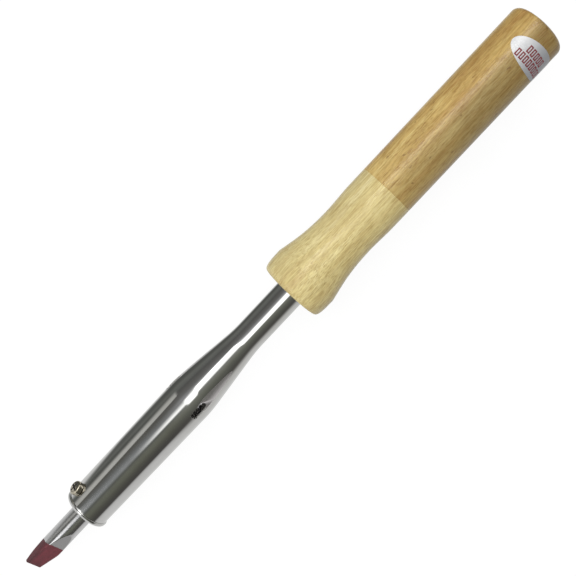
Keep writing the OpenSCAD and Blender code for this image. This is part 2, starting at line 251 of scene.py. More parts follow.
def use_modifier(piece, kind, **settings):
    modifier = piece.modifiers.new(kind.lower(), kind)
    for key, value in settings.items():
        setattr(modifier, key, value)
    graph = bpy.context.evaluated_depsgraph_get()
    mesh = bpy.data.meshes.new_from_object(piece.evaluated_get(graph))
    piece.modifiers.clear()
    old = piece.data
    piece.data = mesh
    bpy.data.meshes.remove(old)


def carve(piece, *cutters):
    for cutter in cutters:
        use_modifier(piece, "BOOLEAN", operation="DIFFERENCE", solver="EXACT", object=cutter)
        bpy.data.objects.remove(cutter)


def radial_frame(x, angle):
    """Takes a piece's own +Z to the outward direction at x and an angle about the axis."""
    turn = Matrix.Rotation(math.radians(angle), 4, "X")
    return Matrix.Translation((x * MM, 0, 0)) @ turn


def place(piece, matrix):
    piece.data.transform(matrix)
    return piece


def bevel(piece, width, above):
    """Rounds off each edge whose faces meet at more than this angle."""
    use_modifier(piece, "BEVEL", width=width * MM, segments=2, limit_method="ANGLE",
                 angle_limit=math.radians(above), use_clamp_overlap=True)


def prism(name, outline, bottom, top):
    """A straight-sided solid from a closed outline in X and Y."""
    count = len(outline)
    points = [(x, y, z) for z in (bottom, top) for x, y in outline]
    walls = [(k, (k + 1) % count, count + (k + 1) % count, count + k) for k in range(count)]
    ends = [tuple(reversed(range(count))), tuple(range(count, 2 * count))]
    return new_piece(name, points, walls + ends)


def disc_outline(radius, sides=64):
    return [(radius * math.cos(2 * math.pi * k / sides), radius * math.sin(2 * math.pi * k / sides))
            for k in range(sides)]


def oblong_outline(length, width, steps=16):
    half = (length - width) / 2
    outline = []
    for side, start in ((1, -90), (-1, 90)):
        for i in range(steps + 1):
            a = math.radians(start + 180 * i / steps)
            outline.append((side * half + width / 2 * math.cos(a), width / 2 * math.sin(a)))
    return outline


def turned_normals(piece, radius_at, tolerance=0.01, span=0.05):
    """Gives the cut outer skin of a turned piece the normals of the uncut one, so a mirror
    finish runs smoothly up to the edge of each hole."""
    mesh = piece.data
    chosen = [Vector(n.vector) for n in mesh.corner_normals]
    for face in mesh.polygons:
        for corner in face.loop_indices:
            spot = mesh.vertices[mesh.loops[corner].vertex_index].co / MM
            radius = math.hypot(spot.y, spot.z)
            if abs(radius - radius_at(spot.x)) > tolerance:
                continue
            slope = (radius_at(spot.x + span) - radius_at(spot.x - span)) / (2 * span)
            normal = Vector((-slope, spot.y / radius, spot.z / radius)).normalized()
            if normal.dot(face.normal) > 0.95:
                chosen[corner] = normal
    mesh.normals_split_custom_set(chosen)


# ---------------------------------------------------------------- material helpers

class Graph:
    """Node graph of one material, with short calls for the nodes used here."""

    def __init__(self, name, **settings):
        self.material = bpy.data.materials.new(name)
        self.material.use_nodes = True
        self.nodes = self.material.node_tree.nodes
        self.links = self.material.node_tree.links
        self.shader = self.nodes["Principled BSDF"]
        for key, value in settings.items():
            self.shader.inputs[key.replace("_", " ")].default_value = value
        self.place = self.node("ShaderNodeTexCoord").outputs["Object"]

    def node(self, kind, inputs=None, **settings):
        node = self.nodes.new(kind)
        for key, value in settings.items():
            setattr(node, key, value)
        for key, value in (inputs or {}).items():
            self.feed(node.inputs[key], value)
        return node

    def feed(self, socket, value):
        if isinstance(value, bpy.types.NodeSocket):
            self.links.new(value, socket)
        else:
            socket.default_value = value

    def split(self, vector):
        return self.node("ShaderNodeSeparateXYZ", {"Vector": vector}).outputs

    def stretched(self, x, y, z, turn=(0, 0, 0)):
        """Object coordinates, in repeats per metre along each axis."""
        node = self.node("ShaderNodeMapping", {"Vector": self.place, "Scale": (x, y, z)})
        node.inputs["Rotation"].default_value = turn
        return node.outputs["Vector"]

    def noise(self, vector, detail=3.0, roughness=0.55, distortion=0.0):
        return self.node("ShaderNodeTexNoise", {
            "Vector": vector, "Scale": 1.0, "Detail": detail, "Roughness": roughness,
            "Distortion": distortion}).outputs["Fac"]

    def ramp(self, value, *stops):
        node = self.node("ShaderNodeValToRGB", {"Fac": value})
        points = node.color_ramp.elements
        while len(points) < len(stops):
            points.new(0.5)
        for point, (position, colour) in zip(points, stops):
            point.position = position
            point.color = tuple(colour) + (1.0,) if len(colour) == 3 else colour
        return node.outputs["Color"]

    def levels(self, value, from_low, from_high, to_low=0.0, to_high=1.0, smooth=True):
        node = self.node("ShaderNodeMapRange", {
            "Value": value, "From Min": from_low, "From Max": from_high,
            "To Min": to_low, "To Max": to_high})
        node.interpolation_type = "SMOOTHSTEP" if smooth else "LINEAR"
        return node.outputs["Result"]

    def maths(self, operation, a, b=0.0):
        node = self.node("ShaderNodeMath", operation=operation)
        self.feed(node.inputs[0], a)
        self.feed(node.inputs[1], b)
        return node.outputs["Value"]

    def mix(self, share, one, two, blend_type="MIX"):
        """Colours mixed. Inputs 6 and 7 and output 2 are the node's colour sockets."""
        node = self.node("ShaderNodeMix", data_type="RGBA", blend_type=blend_type)
        self.feed(node.inputs["Factor"], share)
        for socket, value in ((node.inputs[6], one), (node.inputs[7], two)):
            self.feed(socket, tuple(value) + (1.0,) if isinstance(value, tuple) else value)
        return node.outputs[2]

    def bump(self, height, strength, distance):
        node = self.node("ShaderNodeBump", {
            "Height": height, "Strength": strength, "Distance": distance * MM})
        self.feed(self.shader.inputs["Normal"], node.outputs["Normal"])

    def paint(self, socket, value):
        self.feed(self.shader.inputs[socket], value)


def wood(name, pale, deep, fleck, glow, rear_shade=None, spotted=False):
    """Lacquered wood with its grain along the handle. Given a rear colour, it is tinted toward that
    colour at the cord end as painted shade.
    """
    g = Graph(name, Coat_Weight=0.6, Coat_Roughness=0.17, Coat_IOR=1.5, Specular_IOR_Level=0.15)
    clouds = g.noise(g.stretched(38, 120, 120), 3.0, 0.6, 0.4)
    growth = g.noise(g.stretched(14, 260, 90, (0.5, 0, 0)), 4.0, 0.62, 0.6)
    streaks = g.noise(g.stretched(110, 1900, 1900), 4.0, 0.7)
    colour = g.ramp(growth, (0.30, deep), (0.52, glow), (0.70, pale))
    tone = g.ramp(clouds, (0.32, (0.86, 0.82, 0.76)), (0.62, (1.05, 1.05, 1.04)))
    colour = g.mix(0.85, colour, tone, "MULTIPLY")
    fine = g.ramp(streaks, (0.36, (0.76, 0.69, 0.56)), (0.50, (1.0, 0.99, 0.96)),
                  (0.64, (1.14, 1.13, 1.08)))
    colour = g.mix(0.8, colour, fine, "MULTIPLY")
    dashes = g.noise(g.stretched(230, 1300, 1300), 3.0, 0.6)
    short = g.ramp(dashes, (0.36, (0.80, 0.71, 0.56)), (0.50, (1.0, 1.0, 1.0)),
                   (0.64, (1.10, 1.10, 1.06)))
    colour = g.mix(0.75 if rear_shade else 0.5, colour, short, "MULTIPLY")
    axes = g.split(g.place)
    if rear_shade:
        # Painted shade: the -Y side is darker toward the rear
        painted_shade_side = g.maths("MULTIPLY", g.levels(axes["Y"], -1.5 * MM, 4.5 * MM, 1.0, 0.0),
                            g.levels(axes["X"], 46 * MM, 110 * MM))
        colour = g.mix(painted_shade_side, colour, (0.70, 0.71, 0.77), "MULTIPLY")
        # Painted light and shade: lighter at the seam, darker toward the cord end where the light falls
        # off
        fade = g.levels(axes["X"], SEAM_X * MM, HANDLE_END * MM, 0.0, 1.0, False)
        painted_shading = g.ramp(fade, (0.0, (1.10, 1.13, 1.18)), (1.0, rear_shade))
    else:
        # Painted light and shade: the paler piece is lighter on its -Y side and darker on its +Y side
        side = g.levels(axes["Y"], -7 * MM, 13 * MM)
        painted_shading = g.ramp(side, (0.0, (1.13, 1.12, 1.16)), (0.5, (1.02, 1.02, 1.06)),
                      (1.0, (0.88, 0.88, 0.95)))
    colour = g.mix(1.0, colour, painted_shading, "MULTIPLY")
    pores = g.noise(g.stretched(300, 2600, 2600), 2.0, 0.5)
    patches = g.noise(g.stretched(60, 170, 170), 2.0, 0.5)
    pore_mask = g.maths("MULTIPLY", g.levels(pores, 0.57, 0.66), g.levels(patches, 0.38, 0.58))
    colour = g.mix(g.maths("MULTIPLY", pore_mask, 0.65), colour, fleck)
    if spotted:
        spots = g.noise(g.stretched(380, 620, 620), 1.0, 0.4)
        spot_mask = g.maths("MULTIPLY", g.levels(spots, 0.735, 0.76), 0.5)
        colour = g.mix(spot_mask, colour, (0.16, 0.08, 0.03))
    g.paint("Base Color", colour)
    g.paint("Roughness", g.levels(streaks, 0.3, 0.7, 0.58, 0.42, False))
    height = g.maths("SUBTRACT", streaks, pore_mask)
    g.bump(height, 0.55, 0.035)
    g.paint("Coat Normal", g.shader.inputs["Normal"].links[0].from_socket)
    return g.material


def chrome(name):
    """Bright nickel-chrome plate with faint drawing lines and a few handling marks."""
    g = Graph(name, Metallic=1.0)
    haze = g.noise(g.stretched(90, 90, 90), 3.0, 0.6)
    lines = g.noise(g.stretched(260, 5200, 5200), 2.0, 0.6)
    scuffs = g.noise(g.stretched(3800, 420, 420), 3.0, 0.7, 0.5)
    g.paint("Base Color", g.ramp(haze, (0.35, (0.585, 0.585, 0.575)), (0.65, (0.63, 0.63, 0.625))))
    rough = g.maths("ADD", g.levels(haze, 0.3, 0.75, 0.035, 0.075, False),
                    g.levels(scuffs, 0.62, 0.78, 0.0, 0.02))
    g.paint("Roughness", rough)
    g.bump(lines, 0.05, 0.01)
    return g.material


def dipped_tip(name):
    """Plated chisel tip: satin shank, ground faces, and a dipped red coat over the working end."""
    g = Graph(name, Coat_Weight=0.06, Coat_Roughness=0.3)
    axes = g.split(g.place)
    wave = g.noise(g.stretched(300, 420, 420), 2.0, 0.5)
    high_side = g.levels(axes["Y"], 0.0, TIP_R * MM, 0.0, 1.5 * MM)
    wavy = g.maths("MULTIPLY", g.maths("SUBTRACT", wave, 0.5), 0.8 * MM)
    reach = g.maths("ADD", g.maths("SUBTRACT", wavy, high_side), DIP_X * MM)
    coat = g.levels(g.maths("SUBTRACT", reach, axes["X"]), -0.06 * MM, 0.06 * MM)
    blush = g.noise(g.stretched(200, 500, 500), 3.0, 0.6)
    red = g.ramp(blush, (0.3, (0.135, 0.018, 0.027)), (0.7, (0.215, 0.029, 0.044)))
    # The red is worn dark at the very end, and its +Y side is painted darker as shade
    end_wear_and_shade = g.levels(axes["X"], TIP_FRONT * MM, (TIP_FRONT + 4) * MM, 0.38, 0.0)
    end_wear_and_shade = g.maths("MAXIMUM", end_wear_and_shade, g.levels(axes["Y"], 0.3 * MM, 2.8 * MM, 0.0, 0.6))
    red = g.mix(end_wear_and_shade, red, (0.04, 0.012, 0.014))
    steel = g.ramp(g.noise(g.stretched(150, 2400, 2400), 3.0, 0.6),
                   (0.3, (0.54, 0.54, 0.55)), (0.7, (0.64, 0.64, 0.64)))
    # The ground faces lie deeper than the round shank's skin
    across = g.node("ShaderNodeVectorMath", {"Vector": g.stretched(0, 1, 1)}, operation="LENGTH")
    ground = g.levels(across.outputs["Value"], (TIP_R - 0.25) * MM, (TIP_R - 0.08) * MM, 1.0, 0.0)
    steel = g.mix(ground, steel, (0.38, 0.38, 0.38))
    g.paint("Base Color", g.mix(coat, steel, red))
    g.paint("Metallic", g.maths("SUBTRACT", 1.0, coat))
    satin = g.levels(g.noise(g.stretched(500, 900, 900), 3.0, 0.6), 0.3, 0.7, 0.14, 0.165, False)
    g.paint("Roughness", g.maths("MAXIMUM", satin, g.maths("MULTIPLY", coat, 0.45)))
    grit = g.noise(g.stretched(2500, 2500, 2500), 3.0, 0.7)
    g.bump(g.maths("ADD", g.maths("MULTIPLY", coat, 2.0), g.maths("MULTIPLY", grit, coat)), 0.35, 0.05)
    return g.material


def pressed_metal(name):
    """Plate left satin by the die that pressed it, with its drag marks along the iron."""
    g = Graph(name, Metallic=1.0)
    drag = g.noise(g.stretched(240, 3600, 3600), 3.0, 0.6)
    g.paint("Base Color", g.ramp(drag, (0.3, (0.72, 0.70, 0.71)), (0.7, (0.84, 0.82, 0.83))))
    g.paint("Roughness", g.levels(drag, 0.3, 0.7, 0.30, 0.40, False))
    g.bump(drag, 0.2, 0.02)
    return g.material


def plain_metal(name, dark, light, rough_low, rough_high, grain=(700, 700, 700), depth=0.01):
    """Metal with mottled tone, uneven gloss and fine marks."""
    g = Graph(name, Metallic=1.0)
    mottle = g.noise(g.stretched(*grain), 4.0, 0.6)
    broad = g.noise(g.stretched(130, 130, 130), 2.0, 0.5)
    g.paint("Base Color", g.mix(g.levels(broad, 0.3, 0.7, 0.0, 0.5), g.ramp(
        mottle, (0.3, dark), (0.7, light)), tuple(0.8 * c for c in dark)))
    g.paint("Roughness", g.levels(mottle, 0.3, 0.7, rough_low, rough_high, False))
    g.bump(mottle, 0.3, depth)
    return g.material


def plain_matt(name, dark, light, rough_low, rough_high, scale, depth):
    """Non-metal with speckled tone and a slightly rough skin."""
    g = Graph(name, Specular_IOR_Level=0.4)
    speckle = g.noise(g.stretched(scale, scale, scale), 5.0, 0.65)
    broad = g.noise(g.stretched(scale / 9, scale / 9, scale / 9), 2.0, 0.5)
    colour = g.ramp(speckle, (0.3, dark), (0.7, light))
    g.paint("Base Color", g.mix(g.levels(broad, 0.35, 0.7, 0.0, 0.45), colour, dark))
    g.paint("Roughness", g.levels(speckle, 0.3, 0.7, rough_low, rough_high, False))
    g.bump(speckle, 0.4, depth)
    return g.material


def sticker(name):
    """White foil label: a soft crinkle, and its tone painted darker toward its -Y edge as shade."""
    g = Graph(name, Coat_Weight=0.35, Coat_Roughness=0.22)
    crinkle = g.noise(g.stretched(260, 260, 260), 4.0, 0.6, 0.8)
    foil = g.ramp(crinkle, (0.3, (0.70, 0.71, 0.72)), (0.7, (0.80, 0.80, 0.80)))
    axes = g.split(g.place)
    # Painted shade: the foil is darker toward -Y
    painted_label_shade = g.levels(axes["Y"], -12 * MM, 3 * MM, 1.0, 0.0)
    g.paint("Base Color", g.mix(painted_label_shade, foil, (0.46, 0.47, 0.49), "MULTIPLY"))
    g.paint("Roughness", g.levels(crinkle, 0.3, 0.7, 0.3, 0.5, False))
    g.bump(crinkle, 0.3, 0.05)
    return g.material


LIGHT_WOOD = wood("light_wood", (0.78, 0.69, 0.36), (0.61, 0.485, 0.215), (0.46, 0.31, 0.11),
                  (0.71, 0.61, 0.28))
TAN_WOOD = wood("tan_wood", (0.62, 0.475, 0.20), (0.45, 0.275, 0.092), (0.31, 0.16, 0.05),
                (0.55, 0.395, 0.145), rear_shade=(0.90, 0.86, 0.78), spotted=True)
CHROME = chrome("bright_chrome")
TIP_PLATE = dipped_tip("tip_plate")
NICKEL = plain_metal("nickel_screw", (0.42, 0.38, 0.30), (0.66, 0.61, 0.50), 0.12, 0.28)
PRESSED = pressed_metal("pressed_plate")
SCALED = plain_matt("scaled_steel", (0.022, 0.021, 0.021), (0.055, 0.050, 0.048), 0.5, 0.75, 1400, 0.02)
INSIDE = plain_matt("barrel_inside", (0.36, 0.355, 0.335), (0.50, 0.49, 0.465), 0.5, 0.75, 1400, 0.02)
STEEL = plain_metal("plain_steel", (0.30, 0.29, 0.28), (0.48, 0.47, 0.46), 0.28, 0.48)
ELEMENT = plain_metal("heat_alloy", (0.16, 0.17, 0.20), (0.33, 0.31, 0.30), 0.35, 0.6)
BRASS = plain_metal("brass", (0.55, 0.38, 0.14), (0.78, 0.58, 0.27), 0.2, 0.4)
MICA = plain_matt("mica", (0.34, 0.23, 0.10), (0.66, 0.55, 0.34), 0.25, 0.5, 900, 0.02)
PORCELAIN = plain_matt("porcelain", (0.66, 0.64, 0.58), (0.82, 0.81, 0.76), 0.35, 0.6, 1500, 0.02)
RUBBER = plain_matt("black_rubber", (0.012, 0.012, 0.013), (0.030, 0.030, 0.030), 0.5, 0.75, 1800, 0.03)
LABEL = sticker("label_foil")
PRINT = plain_matt("label_print", (0.19, 0.035, 0.04), (0.29, 0.065, 0.07), 0.4, 0.6, 3000, 0.005)


def finish_piece(piece, material, body, slot, *nodes):
    piece.data.materials.clear()
    piece.data.materials.append(material)
    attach(piece, body)
    if nodes:
        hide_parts(*nodes)


def repaint(piece, material, chosen):
    """Gives another material to the faces that chosen(centre, face) picks."""
    piece.data.materials.append(material)
    for face in piece.data.polygons:
        if chosen(face.center / MM, face):
            face.material_index = len(piece.data.materials) - 1


def hole_through(name, radius, x, angle):
    """A round cutter from the iron's axis out through whatever is there."""
    return place(prism(name, disc_outline(radius), 0, BELL_R), radial_frame(x, angle))


# ---------------------------------------------------------------- pieces

def make_handle_front():
    bore = NECK_R + CLEARANCE
    mouth_edge = 0.3
    nose = [BELL_X * (1 - math.cos(math.radians(a))) for a in range(3, 90, 3)]
    outside = [(0, handle_r(0))] + [(x, handle_r(x)) for x in nose + spaced(BELL_X, GRIP_X, 0.8)]
    outside += [(SEAM_X - SEAM_EDGE, GRIP_R), (SEAM_X, GRIP_R - SEAM_EDGE)]
    tenon = [(SEAM_X, TENON_R), (TENON_END, TENON_R), (TENON_END, CAVITY_R)]
    inside = [(NECK_BACK, CAVITY_R), (NECK_BACK, bore), (mouth_edge, bore)]
    piece = lathe("turned_handle_front", [(0, bore + mouth_edge)] + outside + tenon + inside)
    screw_frame = radial_frame(HANDLE_SCREW_X, HANDLE_SCREW_ANGLE)
    well_floor = handle_r(HANDLE_SCREW_X) - HANDLE_SCREW_WELL
    inside_bore, outside_bell = 5, 20
    for name, radius, bottom, top in (
            ("well", HANDLE_SCREW_HEAD_R, well_floor, outside_bell),
            ("hole", HANDLE_SCREW_HOLE_R, inside_bore, well_floor + 1)):
        carve(piece, place(prism(name, disc_outline(radius, 48), bottom, top), screw_frame))
    turned_normals(piece, handle_r)
    finish_piece(piece, LIGHT_WOOD, "iron", "light_wood", "handle_front")


def make_handle_grip():
    seat = HANDLE_END - BUSH_SEAT_DEPTH
    socket_r, socket_end = TENON_R + CLEARANCE, TENON_END + TENON_GAP
    profile = [(SEAM_X, GRIP_R - SEAM_EDGE), (SEAM_X + SEAM_EDGE, GRIP_R)]
    profile += [(x, GRIP_R) for x in spaced(SEAM_X + 1, HANDLE_END - REAR_ROUND - 0.6, 4)]
    profile += arc(HANDLE_END - REAR_ROUND, GRIP_R - REAR_ROUND, REAR_ROUND, 90, 0, 14)
    profile += [(HANDLE_END, BUSH_SEAT_R + BUSH_SEAT_EDGE), (HANDLE_END - BUSH_SEAT_EDGE, BUSH_SEAT_R),
                (seat, BUSH_SEAT_R), (seat, BUSH_R), (CAVITY_END, BUSH_R), (CAVITY_END, CAVITY_R),
                (socket_end, CAVITY_R), (socket_end, socket_r), (SEAM_X, socket_r)]
    piece = lathe("turned_handle_grip", profile)
    finish_piece(piece, TAN_WOOD, "iron", "tan_wood", "handle_grip")


def make_barrel():
    blend_start = CONE_BLEND - CONE_START
    stations = spaced(NECK_BACK, blend_start, 5)
    stations += spaced(blend_start, -TAPER_START, 0.7)[1:]
    stations += spaced(-TAPER_START, BARREL_FRONT, 3)[1:]
    outer = [(x, shell_r(x)) for x in stations]
    inner = [(x, shell_r(x) - SHELL_WALL) for x in reversed(stations)]
    piece = lathe("swaged_barrel", outer + inner)
    slots = [place(prism("slot", oblong_outline(SLOT_LEN, SLOT_W), NECK_R, 2 * NECK_R),
                   radial_frame(SLOT_X, angle)) for angle in SLOT_ANGLES]
    # A flat is pressed into the cone behind each slot
    slot_end = -SLOT_X - SLOT_LEN / 2
    flat_r = shell_r(-FLAT_START)
    rise = (shell_r(-slot_end) - FLAT_DEPTH - flat_r) / (slot_end - FLAT_START)
    pitch = Matrix.Translation((0, 0, flat_r * MM)) @ Matrix.Rotation(math.atan(rise), 4, "Y")
    reach = -SLOT_X - FLAT_START
    pressed = [(-reach, -NECK_R), (0, -NECK_R), (0, NECK_R), (-reach, NECK_R)]
    flats = [place(prism("flat", pressed, 0, NECK_R), radial_frame(-FLAT_START, angle) @ pitch)
             for angle in SLOT_ANGLES]
    tapped = hole_through("tapped", SCREW_R + SHELL_HOLE_GAP, SCREW_X, SCREW_ANGLE)
    fixing = hole_through("fixing", HANDLE_SCREW_HOLE_R, HANDLE_SCREW_X, HANDLE_SCREW_ANGLE)
    carve(piece, *flats, *slots, tapped, fixing)
    bevel(piece, 0.1, 50)
    smooth(piece, 50)
    turned_normals(piece, shell_r)
    finish_piece(piece, CHROME, "iron", "bright_chrome", "barrel_shell")

    skin = 0.35             # faces that lie deeper have no plating

    def in_bore(spot, _):
        return math.hypot(spot.y, spot.z) < shell_r(spot.x) - skin

    def on_flat(spot, face):
        """True for a face at a flat's height that looks the way the flat does."""
        heights = {angle: spot.dot(around(0, 1, angle)) for angle in SLOT_ANGLES}
        nearest = max(heights, key=heights.get)
        flat_height = flat_r + rise * (-spot.x - FLAT_START)
        return (-slot_end - 4 < spot.x < -FLAT_START and abs(heights[nearest] - flat_height) < 0.02
                and face.normal.angle(around(rise, 1, nearest)) < 0.01)

    repaint(piece, INSIDE, in_bore)
    repaint(piece, PRESSED, on_flat)


def make_bushing():
    bore = CORE_R + CLEARANCE
    sleeve_r = RIM_R - SHELL_WALL - 0.1
    lip_bore = TIP_R + 0.2
    lip_edge = 0.25
    roll = arc(BARREL_FRONT - LIP_BACK_ROUND, LIP_R - LIP_BACK_ROUND, LIP_BACK_ROUND, 0, 90, 6)
    roll += arc(LIP_FRONT + LIP_ROUND, LIP_R - LIP_ROUND, LIP_ROUND, 90, 180, 14)
    profile = [(BARREL_FRONT, sleeve_r), (BUSHING_BACK, sleeve_r), (BUSHING_BACK, bore),
               (BARREL_FRONT, bore), (BARREL_FRONT, lip_bore), (LIP_FRONT + lip_edge, lip_bore),
               (LIP_FRONT, lip_bore + lip_edge)]
    piece = lathe("rim_bushing", profile + list(reversed(roll)))
    carve(piece, hole_through("tapped", SCREW_R, SCREW_X, SCREW_ANGLE))
    finish_piece(piece, CHROME, "iron", "bright_chrome", "front_bushing")


def soft_least(a, b, k):
    """The lesser of a and b, rounded off where they are within k of each other."""
    share = min(1, max(0, 0.5 + 0.5 * (b - a) / k))
    return b * (1 - share) + a * share - k * share * (1 - share)


def make_tip():
    sides = 240
    rounding = 0.16         # how softly the ground faces run into the round shank
    least = 0.02            # no side of a shrunken ring comes nearer the middle

    def section(x):
        back = x - TIP_FRONT
        half_t = EDGE_T / 2 + (TIP_R - EDGE_T / 2) * back / CHISEL_LEN
        ring = []
        for k in range(sides):
            a = 2 * math.pi * k / sides
            y, z = TIP_R * math.sin(a), TIP_R * math.cos(a)
            edge = EDGE_W / 2 + math.copysign(EDGE_SHIFT, y)
            half_w = edge + (TIP_R - edge) * back / SIDE_LEN
            ring.append((math.copysign(soft_least(abs(y), half_w, rounding), y),
                         math.copysign(soft_least(abs(z), half_t, rounding), z)))
        return ring

    def shrunk(ring, by):
        return [tuple(math.copysign(max(least, abs(c) - by), c) for c in corner) for corner in ring]

    grind_end = TIP_FRONT + CHISEL_LEN + 1
    stations = spaced(TIP_FRONT + 0.2, grind_end, 0.25)
    stations += spaced(grind_end, TIP_BACK - TIP_BACK_EDGE, 4)[1:]
    # Two shrunken rings round the edge's face and one bevels the back
    edge_ring = section(TIP_FRONT)
    rings = [(TIP_FRONT, shrunk(edge_ring, 0.2)), (TIP_FRONT + 0.06, shrunk(edge_ring, 0.08))]
    rings += [(x, section(x)) for x in stations]
    rings.append((TIP_BACK, shrunk(section(TIP_BACK - TIP_BACK_EDGE), TIP_BACK_EDGE)))
    turn = Matrix.Rotation(math.radians(CHISEL_ANGLE), 3, "X")
    points = [turn @ Vector((x, y, z)) for x, ring in rings for y, z in ring]
    faces = []
    for start in range(0, sides * (len(rings) - 1), sides):
        for k in range(sides):
            n = (k + 1) % sides
            faces.append((start + k, start + n, start + sides + n, start + sides + k))
    faces += [tuple(range(sides)), tuple(range(len(points) - sides, len(points)))]
    piece = new_piece("chisel_tip", points, faces, 40)
    finish_piece(piece, TIP_PLATE, "tip_plug", "tip_plate", "tip")


def make_tip_screw():
    # Heights are distances from the iron's axis
    low_h = TIP_R + 0.05
    head_h = shell_r(SCREW_X) + WASHER_T + 2 * CLEARANCE
    top = head_h + SCREW_HEAD_H
    shank = SCREW_R - 0.05
    thread = []
    for i in range(int((head_h - low_h - 0.8) / SCREW_PITCH)):
        base = low_h + 0.6 + SCREW_PITCH * i
        thread += [(base, shank), (base + SCREW_PITCH / 2, shank - SCREW_PITCH / 2)]
    head_edge, crown_round, crown_h = 0.12, 1.0, top - 1.15
    crown = arc(crown_h, SCREW_HEAD_R - crown_round, crown_round, 90, 0, 9)
    crown += [(top - 0.04, SCREW_HEAD_R / 3), (top, 0)]
    profile = [(low_h, 0), (low_h, shank - 0.5)] + thread + [(head_h - 0.1, shank), (head_h, shank)]
    profile += [(head_h, SCREW_HEAD_R - head_edge), (head_h + head_edge, SCREW_HEAD_R)] + crown
    piece = place(lathe("set_screw_pan_head", profile, 96), Matrix.Rotation(math.radians(-90), 4, "Y"))
    # The cross recess: two blades that narrow toward the bottom
    recess_depth = 1.2
    wing, half_t = 1.9, 0.4
    wing_taper, side_taper = 0.72, 0.8
    cutters = []
    for turn in (0, 90):
        outline = [(-wing, -half_t), (wing, -half_t), (wing, half_t), (-wing, half_t)]
        cutter = prism("wing", outline, top - recess_depth, top + 0.5)
        for vertex in cutter.data.vertices:
            if vertex.co.z < top * MM:
                vertex.co.x *= wing_taper
                vertex.co.y *= side_taper
        cutters.append(place(cutter, Matrix.Rotation(math.radians(turn), 4, "Z")))
    carve(piece, *cutters)
    bevel(piece, 0.08, 45)
    smooth(piece, 40)
    place(piece, radial_frame(SCREW_X, SCREW_ANGLE))
    finish_piece(piece, NICKEL, "set_screw", "nickel_screw", "tip_screw")
    inward = radial_frame(SCREW_X, SCREW_ANGLE).inverted()

    def in_recess(spot, _):
        spot = inward @ (spot * MM) / MM
        depth = top - spot.z
        return 0.12 < depth < recess_depth + 0.1 and math.hypot(spot.x, spot.y) < SCREW_HEAD_R - 0.9

    repaint(piece, SCALED, in_recess)


def wrapped(name, outline, radius, thickness):
    """A thin sheet wrapped round the grip. Its outline is (distance along the axis from the
    label's centre, distance round the grip)."""
    shape = bmesh.new()
    ring = [shape.verts.new((x, y, 0)) for x, y in outline]
    shape.faces.new(ring)
    fold = 0.8              # a new row of vertices this often round the grip
    first = min(y for x, y in outline)
    width = max(y for x, y in outline) - first
    for step in range(1, max(2, int(width / fold))):
        bmesh.ops.bisect_plane(shape, geom=shape.verts[:] + shape.edges[:] + shape.faces[:],
                               plane_co=(0, first + fold * step, 0), plane_no=(0, 1, 0))
    made = bmesh.ops.extrude_face_region(shape, geom=shape.faces[:])
    for vertex in [v for v in made["geom"] if isinstance(v, bmesh.types.BMVert)]:
        vertex.co.z += thickness
    for vertex in shape.verts:
        spot = vertex.co.copy()
        angle = LABEL_ANGLE + math.degrees(spot.y / GRIP_R)
        vertex.co = around(LABEL_X + spot.x, radius + spot.z, angle) * MM
    piece = new_object(name, mesh_from(shape, name))
    shade(piece)
    return piece


def make_label():
    oval = [(LABEL_H / 2 * math.cos(math.radians(a)), LABEL_W / 2 * math.sin(math.radians(a)))
            for a in range(0, 360, 4)]
    piece = wrapped("rating_sticker", oval, GRIP_R, LABEL_T)
    finish_piece(piece, LABEL, "iron", "label_foil", "rating_label")
    # Two rows of plain hollow marks stand for the printing
    mark, gap, tall, line_w = 1.6, 0.5, 3.2, 0.55
    marks = []
    for row, first, count in ((-2.4, -9.8, 8), (1.35, -7.05, 5)):
        for i in range(count):
            y0 = first + (mark + gap) * i
            y1, x0, x1 = y0 + mark, row - tall / 2, row + tall / 2
            for a, b, c, d in ((x0, x1, y0, y0 + line_w), (x0, x1, y1 - line_w, y1),
                               (x0, x0 + line_w, y0 + line_w, y1 - line_w),
                               (x1 - line_w, x1, y0 + line_w, y1 - line_w)):
                marks.append(wrapped("mark", [(a, c), (b, c), (b, d), (a, d)],
                                     GRIP_R + LABEL_T - MARK_SINK, MARK_T))
    finish_piece(join(marks, "label_marks"), PRINT, "iron", "label_foil")


def join(pieces, name):
    """Makes one piece of several."""
    shape = bmesh.new()
    for piece in pieces:
        shape.from_mesh(piece.data)
    mesh = mesh_from(shape, name)
    for piece in pieces:
        bpy.data.objects.remove(piece)
    whole = new_object(name, mesh)
    shade(whole)
    return whole


def finish_cad_nodes():
    """The pieces that keep their CAD shape only get a material."""
    finishes = {
        "handle_screw": STEEL, "cord_bush": RUBBER, "core_tube": STEEL, "core_plug": STEEL,
        "inner_mica": MICA, "heating_ribbon": ELEMENT, "outer_mica": MICA, "binding_bands": STEEL,
        "rear_spacer": PORCELAIN, "crimp_ferrules": BRASS, "live_lead": ELEMENT, "neutral_lead": ELEMENT,
        "lead_beads": PORCELAIN, "ground_clip": BRASS, "ground_lead": BRASS,
        "terminal_block": PORCELAIN, "terminal_inserts": BRASS, "terminal_screws": BRASS,
        "screw_washer": NICKEL,
    }
    for name, material in finishes.items():
        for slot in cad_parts[name].material_slots:
            slot.link = "OBJECT"
            slot.material = material


# ---------------------------------------------------------------- camera, floor and light

# The camera is over the iron, which lies with its handle up and to the right.
CAMERA_AT = Vector((36.3, 1.85, 396.0)) * MM
CAMERA_AIM = Vector((0.4, 1.85, 0.0)) * MM
CAMERA_LENS = 61.3
HANDLE_RISES = math.radians(46.8)    # how steeply +X climbs in the picture


